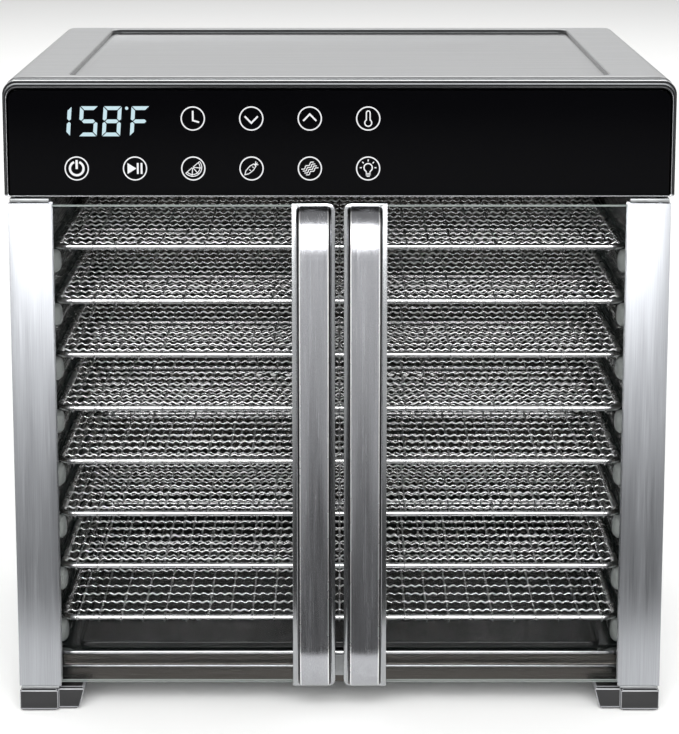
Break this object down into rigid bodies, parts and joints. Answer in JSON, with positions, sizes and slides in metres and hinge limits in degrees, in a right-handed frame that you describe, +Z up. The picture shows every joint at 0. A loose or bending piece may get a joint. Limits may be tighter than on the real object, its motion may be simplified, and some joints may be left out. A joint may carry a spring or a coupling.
{
  "type": "food dehydrator",
  "caption": "Counter-top food dehydrator: steel cabinet with glazed French doors, stacked woven-mesh trays, a drip tray, a touch fascia and a rear fan with a ring heater.",
  "frame": {"origin": "on the table under the middle of the object's box", "axes": "+Z up, +X to the right seen from the front, the doors face -Y"},
  "size_m": [0.34, 0.324, 0.334],
  "materials": {
    "cover_steel": "satin grey brushed sheet steel",
    "body_steel": "brushed stainless sheet",
    "door_steel": "vertically brushed stainless steel",
    "polished_steel": "polished stainless steel",
    "fascia_glass": "black back-painted glass with white print",
    "door_glass": "clear toughened glass",
    "dark_liner": "dark reflective sheet steel",
    "plated_steel": "zinc-plated sheet steel",
    "black_plastic": "fine-textured moulded plastic",
    "circuit_board": "green solder resist on glass-fibre board",
    "lamp_lens": "frosted moulded lens",
    "heater_sheath": "heat-tinted steel sheath",
    "tray_wire": "electropolished stainless wire",
    "black_enamel": "gloss black enamel"
  },
  "bodies": {
    "cabinet": {"back_panel": "plated_steel", "base_pan": "plated_steel", "chamber_ceiling": "dark_liner", "chamber_floor": "dark_liner", "chamber_lamp": "lamp_lens", "control_board": "circuit_board", "control_fascia": "fascia_glass", "display_module": "black_plastic", "fan_baffle": "dark_liner", "fan_motor": "plated_steel", "fascia_bezel": "polished_steel", "front_left_foot": "black_plastic", "front_right_foot": "black_plastic", "front_sill": "dark_liner", "heater_element": "heater_sheath", "left_liner": "dark_liner", "left_lower_hinge_pin": "plated_steel", "left_lower_hinge_plate": "plated_steel", "left_side_panel": "body_steel", "left_upper_hinge_pin": "plated_steel", "left_upper_hinge_plate": "plated_steel", "magnet_strike": "plated_steel", "motor_bracket": "plated_steel", "power_board": "circuit_board", "power_inlet": "black_plastic", "rear_left_foot": "black_plastic", "rear_right_foot": "black_plastic", "rear_vent_cover": "black_plastic", "right_liner": "dark_liner", "right_lower_hinge_pin": "plated_steel", "right_lower_hinge_plate": "plated_steel", "right_side_panel": "body_steel", "right_upper_hinge_pin": "plated_steel", "right_upper_hinge_plate": "plated_steel", "temperature_probe": "polished_steel", "top_cover": "cover_steel"},
    "left_door": {"left_door_glass": "door_glass", "left_door_grip": "door_steel", "left_door_magnet": "plated_steel", "left_door_stile": "door_steel", "left_door_trim": "polished_steel", "left_lower_grip_screw": "plated_steel", "left_upper_grip_screw": "plated_steel"},
    "right_door": {"right_door_glass": "door_glass", "right_door_grip": "door_steel", "right_door_magnet": "plated_steel", "right_door_stile": "door_steel", "right_door_trim": "polished_steel", "right_lower_grip_screw": "plated_steel", "right_upper_grip_screw": "plated_steel"},
    "fan": {"fan_wheel": "plated_steel"},
    "drip_tray": {"drip_tray": "black_enamel"},
    "tray_1": {"tray_1": "tray_wire"},
    "tray_2": {"tray_2": "tray_wire"},
    "tray_3": {"tray_3": "tray_wire"},
    "tray_4": {"tray_4": "tray_wire"},
    "tray_5": {"tray_5": "tray_wire"},
    "tray_6": {"tray_6": "tray_wire"},
    "tray_7": {"tray_7": "tray_wire"},
    "tray_8": {"tray_8": "tray_wire"}
  },
  "joints": [
    {"name": "left_door_swing", "type": "hinge", "parent": "cabinet", "child": "left_door", "pos_m": [-0.1633, -0.14325, 0.14225], "axis": [0, 0, -1], "range_deg": [0, 110]},
    {"name": "right_door_swing", "type": "hinge", "parent": "cabinet", "child": "right_door", "pos_m": [0.1633, -0.14325, 0.14225], "axis": [0, 0, 1], "range_deg": [0, 110]},
    {"name": "fan_spin", "type": "hinge", "parent": "cabinet", "child": "fan", "pos_m": [0, 0.122, 0.15], "axis": [0, 1, 0], "continuous": true},
    {"name": "tray_1_slide", "type": "slide", "parent": "cabinet", "child": "tray_1", "axis": [0, -1, 0], "range_m": [0, 0.0095]},
    {"name": "tray_2_slide", "type": "slide", "parent": "cabinet", "child": "tray_2", "axis": [0, -1, 0], "range_m": [0, 0.0095]},
    {"name": "tray_3_slide", "type": "slide", "parent": "cabinet", "child": "tray_3", "axis": [0, -1, 0], "range_m": [0, 0.0095]},
    {"name": "tray_4_slide", "type": "slide", "parent": "cabinet", "child": "tray_4", "axis": [0, -1, 0], "range_m": [0, 0.0095]},
    {"name": "tray_5_slide", "type": "slide", "parent": "cabinet", "child": "tray_5", "axis": [0, -1, 0], "range_m": [0, 0.0095]},
    {"name": "tray_6_slide", "type": "slide", "parent": "cabinet", "child": "tray_6", "axis": [0, -1, 0], "range_m": [0, 0.0095]},
    {"name": "tray_7_slide", "type": "slide", "parent": "cabinet", "child": "tray_7", "axis": [0, -1, 0], "range_m": [0, 0.0095]},
    {"name": "tray_8_slide", "type": "slide", "parent": "cabinet", "child": "tray_8", "axis": [0, -1, 0], "range_m": [0, 0.0095]},
    {"name": "drip_tray_slide", "type": "slide", "parent": "cabinet", "child": "drip_tray", "axis": [0, -1, 0], "range_m": [0, 0.004]}
  ]
}
